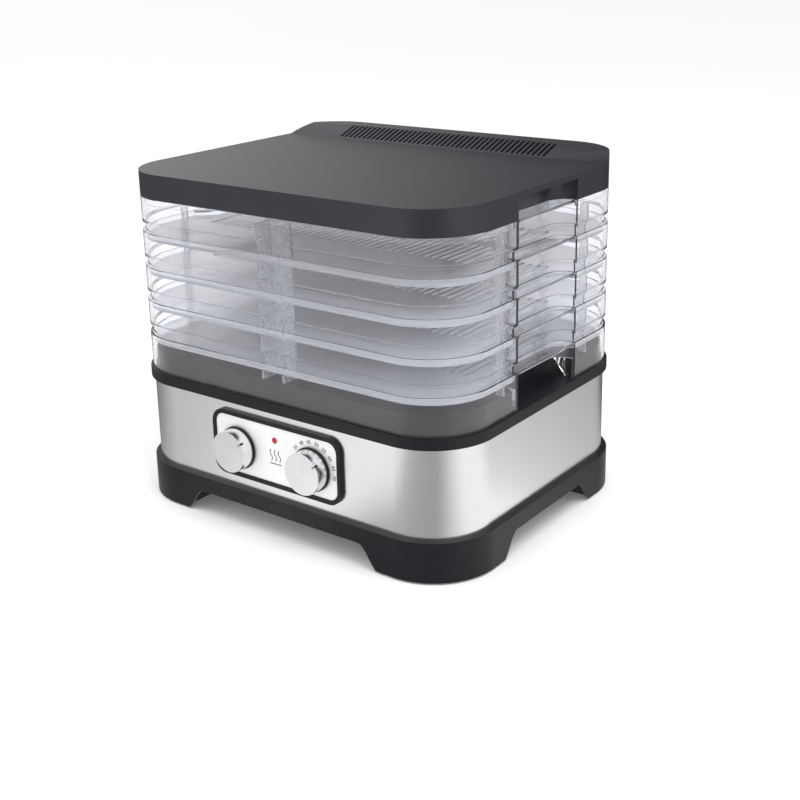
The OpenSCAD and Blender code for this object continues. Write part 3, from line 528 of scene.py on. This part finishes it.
def azimuth_cards(tree, vector, cards):
    """Grey level that changes with the direction round the object, from (degrees, level) pairs."""
    split = tree.nodes.new("ShaderNodeSeparateXYZ")
    flip = tree.nodes.new("ShaderNodeMath")
    flip.operation = "MULTIPLY"
    flip.inputs[1].default_value = -1
    turn = tree.nodes.new("ShaderNodeMath")
    turn.operation = "ARCTAN2"
    share = tree.nodes.new("ShaderNodeMapRange")
    share.inputs["From Min"].default_value = -math.pi
    share.inputs["From Max"].default_value = math.pi
    ramp = tree.nodes.new("ShaderNodeValToRGB")
    stops = ramp.color_ramp.elements
    while len(stops) < len(cards):
        stops.new(0.5)
    for stop, (azimuth, level) in zip(stops, cards):
        stop.position = (azimuth + 180) / 360
        stop.color = (level, level, level, 1)
    tree.links.new(vector, split.inputs[0])
    tree.links.new(split.outputs["Y"], flip.inputs[0])
    tree.links.new(split.outputs["X"], turn.inputs[0])
    tree.links.new(flip.outputs[0], turn.inputs[1])
    tree.links.new(turn.outputs[0], share.inputs["Value"])
    tree.links.new(share.outputs[0], ramp.inputs[0])
    return ramp.outputs[0]


def reflected_only(tree):
    """One for rays that a surface mirrors, and zero for the rest."""
    path = tree.nodes.new("ShaderNodeLightPath")
    share = tree.nodes.new("ShaderNodeMath")
    share.operation = "SUBTRACT"
    share.use_clamp = True
    tree.links.new(path.outputs["Is Glossy Ray"], share.inputs[0])
    tree.links.new(path.outputs["Is Transmission Ray"], share.inputs[1])
    return share.outputs[0]


def add_surroundings():
    """White room with darker cards that only mirrored rays see."""
    world = bpy.data.worlds.new("studio")
    bpy.context.scene.world = world
    world.use_nodes = True
    tree = world.node_tree
    shade = tree.nodes["Background"]
    coord = tree.nodes.new("ShaderNodeTexCoord")
    mix = tree.nodes.new("ShaderNodeMix")
    mix.data_type = "RGBA"
    mix.inputs["A"].default_value = (1, 1, 1, 1)
    tree.links.new(reflected_only(tree), mix.inputs["Factor"])
    tree.links.new(azimuth_cards(tree, coord.outputs["Generated"], SKY_CARDS), mix.inputs["B"])
    tree.links.new(mix.outputs["Result"], shade.inputs[0])
    shade.inputs[1].default_value = 1.0
    world.cycles.sampling_method = "NONE"


def add_floor():
    """Pale floor, with the studio's soft cards where glossy parts mirror it."""
    bm = bmesh.new()
    bmesh.ops.create_grid(bm, x_segments=1, y_segments=1, size=12)
    mesh = bm_to_mesh(bm, "floor")
    mat, tree, shader = new_material("pale_floor")
    coords = object_coords(tree)
    tone = noise(tree, coords, 6, 2.0)
    colour = two_tone(tree, tone, (0.93, 0.93, 0.935), (0.95, 0.95, 0.955))
    tree.links.new(colour, shader.inputs["Base Color"])
    shader.inputs["Roughness"].default_value = 0.6
    shader.inputs["Specular IOR Level"].default_value = 0.1
    shader.inputs["Emission Color"].default_value = (1, 1, 1, 1)
    shader.inputs["Emission Strength"].default_value = 0.08
    card = tree.nodes.new("ShaderNodeEmission")
    tree.links.new(azimuth_cards(tree, coords, FLOOR_CARDS), card.inputs[0])
    mix = tree.nodes.new("ShaderNodeMixShader")
    out = next(n for n in tree.nodes if n.type == "OUTPUT_MATERIAL")
    tree.links.new(reflected_only(tree), mix.inputs[0])
    tree.links.new(shader.outputs[0], mix.inputs[1])
    tree.links.new(card.outputs[0], mix.inputs[2])
    tree.links.new(mix.outputs[0], out.inputs[0])
    mesh.materials.append(mat)
    floor = bpy.data.objects.new("floor", mesh)
    bpy.context.scene.collection.objects.link(floor)


def add_studio():
    add_surroundings()
    add_floor()
    add_area("key", 70, 62, 1.7, (1.2, 1.0), 12)
    add_area("fill", -60, 40, 1.7, (1.0, 1.0), 5)
    scene = bpy.context.scene
    scene.view_settings.view_transform = "Standard"
    scene.cycles.max_bounces = 20
    scene.cycles.transmission_bounces = 18
    scene.cycles.transparent_max_bounces = 24


# ---- Trays and collar ----

def inside(x, y, inset):
    """True where a point lies within the outline moved in by inset, clear of the hand recesses."""
    cx = max(0, abs(x) - (WIDTH / 2 - RADIUS))
    cy = max(0, abs(y) - (DEPTH / 2 - RADIUS))
    within = abs(x) <= WIDTH / 2 - inset and abs(y) <= DEPTH / 2 - inset
    within = within and math.hypot(cx, cy) <= RADIUS - inset
    in_grip = abs(y) <= GRIP_LEN / 2 + inset and abs(x) >= WIDTH / 2 - GRIP_DEPTH - inset
    return within and not in_grip


def slot_loops():
    """Loops of the floor's slots, with round ends."""
    loops = []
    columns = int((WIDTH / 2 - SLOT_MARGIN) / SLOT_PITCH)
    row_len = (DEPTH - 2 * SLOT_MARGIN + SLOT_BAR) / SLOT_ROWS - SLOT_BAR
    first = -DEPTH / 2 + SLOT_MARGIN + row_len / 2
    half = row_len / 2 - SLOT_W / 2
    for row in range(SLOT_ROWS):
        y = first + row * (row_len + SLOT_BAR)
        outer_row = row in (0, SLOT_ROWS - 1)
        for column in range(-columns, columns + 1):
            x = column * SLOT_PITCH
            far = abs(x) + SLOT_W / 2
            fits = all(inside(far, y + d, SLOT_MARGIN) for d in (-row_len / 2, 0, row_len / 2))
            if fits and not (outer_row and abs(x) < POST_W / 2 + SLOT_W):
                ends = (arc(x, y + half, SLOT_W / 2, 0, 180, 5)
                        + arc(x, y - half, SLOT_W / 2, 180, 360, 5))
                loops.append(ends)
    return loops


def stacking_supports(z0, z1, start_in):
    """Stacking channels in the front and back walls, and the ribs in the side walls."""
    meshes = []
    edge = 0.35 * MM
    for side in (-1, 1):
        wall_y = DEPTH / 2 - start_in
        back_y = DEPTH / 2 - POST_IN
        for leg in (-1, 1):
            x = leg * (POST_W - RIB) / 2
            ys = sorted((side * wall_y, side * back_y))
            meshes.append(box_mesh((x - RIB / 2, ys[0], z0), (x + RIB / 2, ys[1], z1), edge, "leg"))
        ys = sorted((side * back_y, side * (back_y + RIB)))
        meshes.append(box_mesh((-POST_W / 2, ys[0], z0), (POST_W / 2, ys[1], z1), edge, "web"))
        for end in (-1, 1):
            y = end * (GRIP_LEN / 2 + SIDE_RIB_PAST)
            xs = sorted((side * (WIDTH / 2 - start_in), side * (WIDTH / 2 - start_in - SIDE_RIB_LEN)))
            meshes.append(box_mesh((xs[0], y - RIB / 2, z0), (xs[1], y + RIB / 2, z1), edge, "rib"))
    return meshes


def grip_bars(rim):
    """Straight finger bars that close the hand recesses at rim height."""
    meshes = []
    end_y = GRIP_LEN / 2 - GRIP_DEPTH
    x = WIDTH / 2
    reach = GRIP_DEPTH + BAR_ROOT
    loop = arc(x - BAR_SHORT, end_y, reach, 90, 180, 8)
    loop += arc(x - BAR_SHORT, -end_y, reach, 180, 270, 8)
    loop = [(min(px, x), py) for px, py in loop]
    for side in (-1, 1):
        turned = [(side * px, side * py) for px, py in loop]
        meshes.append(flat_solid([turned], rim - BAR_T, rim, 0.5 * MM, "bar"))
    return meshes


def add_tray(level, slots):
    rim = RIM_1 - (level - 1) * PITCH
    foot = rim - PITCH - NEST
    shoulder = rim - (PITCH - NOTCH)
    outer, inner = 0.0, WALL
    low_out, low_in = LOW_IN, LOW_IN + WALL
    soft = 0.7 * MM
    section = rounded_profile([
        (low_out, foot, soft), (low_out, shoulder, 0.5 * MM), (outer, shoulder, soft),
        (outer, rim, 0.6 * MM), (inner, rim, 0.6 * MM), (inner, shoulder + WALL, 0.5 * MM),
        (low_in, shoulder + WALL, soft), (low_in, foot, soft)])
    wall = swept(section, name="wall")
    floor = flat_solid([outline(low_in - 0.4 * MM)] + slots, foot, foot + FLOOR_T, 0.45 * MM, "floor")
    supports = stacking_supports(foot + FLOOR_T - 0.1 * MM, shoulder + WALL, low_in - 0.4 * MM)
    supports += stacking_supports(shoulder + WALL + 0.02 * MM, rim - NEST, inner - 0.4 * MM)
    name = f"tray_{level}"
    parts = [wall] + grip_bars(rim)
    body = f"tray_level_{level}"
    finish_mesh(joined(parts, name), f"clear_{name}", body, "clear_plastic", replaces=(name,))
    finish_mesh(floor, f"clear_{name}_floor", body, "clear_plastic", "floor_plastic", replaces=(name,))
    finish_mesh(joined(supports, f"{name}_supports"), f"clear_{name}_supports", body,
                "clear_plastic", "frosted_plastic", replaces=(name,))


def add_trays():
    slots = slot_loops()
    for level in range(1, 5):
        add_tray(level, slots)


def add_collar():
    """Clear collar between the base and the lowest tray, open at the foot of each hand recess."""
    section = rounded_profile([
        (0, BAND_TOP, 0.3 * MM), (0, COLLAR_RIM, 0.9 * MM),
        (WALL, COLLAR_RIM, 0.9 * MM), (WALL, BAND_TOP, 0.3 * MM)])
    wall = swept(section, name="collar")
    bm = bmesh.new()
    bm.from_mesh(wall)
    bpy.data.meshes.remove(wall)
    half = GRIP_LEN / 2
    window_top = PLINTH_TOP
    cuts = (((0, 1, 0), (0, half, 0)), ((0, 1, 0), (0, -half, 0)), ((0, 0, 1), (0, 0, window_top)))
    for normal, spot in cuts:
        geom = bm.verts[:] + bm.edges[:] + bm.faces[:]
        bmesh.ops.bisect_plane(bm, geom=geom, plane_co=spot, plane_no=normal, dist=1e-7)
    gone = []
    for face in bm.faces:
        c = face.calc_center_median()
        if abs(c.y) < half and c.z < window_top and abs(c.x) > WIDTH / 4:
            gone.append(face)
    bmesh.ops.delete(bm, geom=gone, context="FACES")
    rim = [edge for edge in bm.edges if len(edge.link_faces) == 1]
    bmesh.ops.holes_fill(bm, edges=rim, sides=0)
    wall = bm_to_mesh(bm, "collar")
    parts = [wall] + grip_bars(COLLAR_RIM)
    supports = stacking_supports(PLINTH_TOP + 0.3 * MM, COLLAR_RIM - NEST, WALL / 2)
    finish_mesh(joined(parts, "collar"), "clear_collar", "collar", "clear_plastic",
                replaces=("base_collar",))
    finish_mesh(joined(supports, "collar_supports"), "clear_collar_supports", "collar", "clear_plastic",
                "frosted_plastic", replaces=("base_collar",))


# ---- Opaque mouldings and metal parts with softened edges ----

SOFTENED = [
    ("lid_shell", "lid", "charcoal_lid", 1.0),
    ("top_deck", "base", "black_plastic", 0.8),
    ("lower_housing", "base", "black_plastic", 0.8),
    ("outlet_grille", "base", "black_plastic", 0.4),
    ("inlet_grille", "base", "black_plastic", 0.4),
    ("panel_bezel", "base", "black_plastic", 0.7),
    ("cord_gland", "base", "black_plastic", 0.6),
    ("rubber_feet", "base", "rubber_pad", 0.5),
    ("timer_knob_core", "timer_dial", "black_plastic", 0.4),
    ("thermostat_knob_core", "thermostat_dial", "black_plastic", 0.4),
    ("timer_knob_cap", "timer_dial", "knob_chrome", 0.5),
    ("thermostat_knob_cap", "thermostat_dial", "knob_chrome", 0.5),
    ("fan_motor", "base", "lamination", 0.6),
]


def on_round_rim(node):
    """Test for the edges on the outer rim of a round node that faces -Y."""
    x, _, z = middle(node)
    reach = 0.95 * (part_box(node)[1][0] - x)
    return lambda edge: all(math.hypot(v.co.x - x, v.co.z - z) > reach for v in edge.verts)


def add_softened():
    for node, body, slot, width in SOFTENED:
        wanted = on_round_rim(node) if slot == "knob_chrome" else None
        mesh = softened(node, width * MM, wanted=wanted)
        finish_mesh(mesh, f"soft_{node}", body, slot, replaces=(node,))


# ---- Panel print ----

def printed(curve, name, place, tilt_deg=0.0):
    """Raised ink print from a flat curve, laid on the face plate."""
    holder = bpy.data.objects.new(name, curve)
    bpy.context.scene.collection.objects.link(holder)
    graph = bpy.context.evaluated_depsgraph_get()
    mesh = bpy.data.meshes.new_from_object(holder.evaluated_get(graph))
    bpy.data.objects.remove(holder)
    bpy.data.curves.remove(curve)
    upright = Matrix.Rotation(math.radians(90), 4, "X")
    turn = Matrix.Rotation(math.radians(tilt_deg), 4, "Y")
    mesh.transform(Matrix.Translation(place) @ turn @ upright)
    piece = finish_mesh(mesh, name, "base", None, "print_ink")
    return piece


def add_scale():
    """Temperature numbers round the thermostat's knob."""
    x, _, z = middle("thermostat_knob_cap")
    numbers = [35, 40, 45, 50, 55, 60, 65, 70]
    reach = 21 * MM
    first_deg = -50
    step_deg = 21
    for i, number in enumerate(numbers):
        angle = first_deg + i * step_deg
        curve = bpy.data.curves.new(f"number_{number}", "FONT")
        curve.body = str(number)
        curve.size = 4.3 * MM
        curve.align_x = "CENTER"
        curve.align_y = "CENTER"
        curve.extrude = 0.06 * MM
        a = math.radians(angle)
        place = (x + reach * math.sin(a), PLATE_FRONT - 0.05 * MM, z + reach * math.cos(a))
        printed(curve, f"number_{number}", place, angle)


def add_icon():
    """Plain warm-air sign between the knobs: three rising waves over a bar."""
    left = middle("timer_knob_cap")[0]
    right = middle("thermostat_knob_cap")[0]
    z = middle("timer_knob_cap")[2]
    for i in range(4):
        curve = bpy.data.curves.new(f"wave_{i}", "CURVE")
        curve.dimensions = "3D"
        curve.bevel_depth = 0.42 * MM
        curve.bevel_resolution = 2
        curve.use_fill_caps = True
        spline = curve.splines.new("POLY")
        count = 25
        spline.points.add(count - 1)
        for k, point in enumerate(spline.points):
            t = k / (count - 1)
            if i < 3:
                sway = math.sin(2 * math.pi * t) * 1.1 * MM
                point.co = ((i - 1) * 4.2 * MM + sway, (t * 9 - 3) * MM, 0, 1)
            else:
                point.co = ((t - 0.5) * 12 * MM, -5.4 * MM, 0, 1)
        piece = printed(curve, f"icon_{i}", ((left + right) / 2, PLATE_FRONT, z))
        flatten = Matrix.Translation((0, PLATE_FRONT, 0)) @ Matrix.Scale(0.25, 4, (0, 1, 0))
        piece.data.transform(flatten @ Matrix.Translation((0, -PLATE_FRONT, 0)))


# ---- Carried-over nodes ----

def dress_nodes():
    """Gives every CAD node the material of its slot."""
    slots = {row["node"]: row["material_slot"] for row in frame["record"]["subparts"]}
    for node, piece in frame["nodes"].items():
        piece.data.materials.clear()
        piece.data.materials.append(MATS[slots[node]])


add_camera()
add_studio()
dress_nodes()
add_trays()
add_collar()
add_softened()
add_scale()
add_icon()
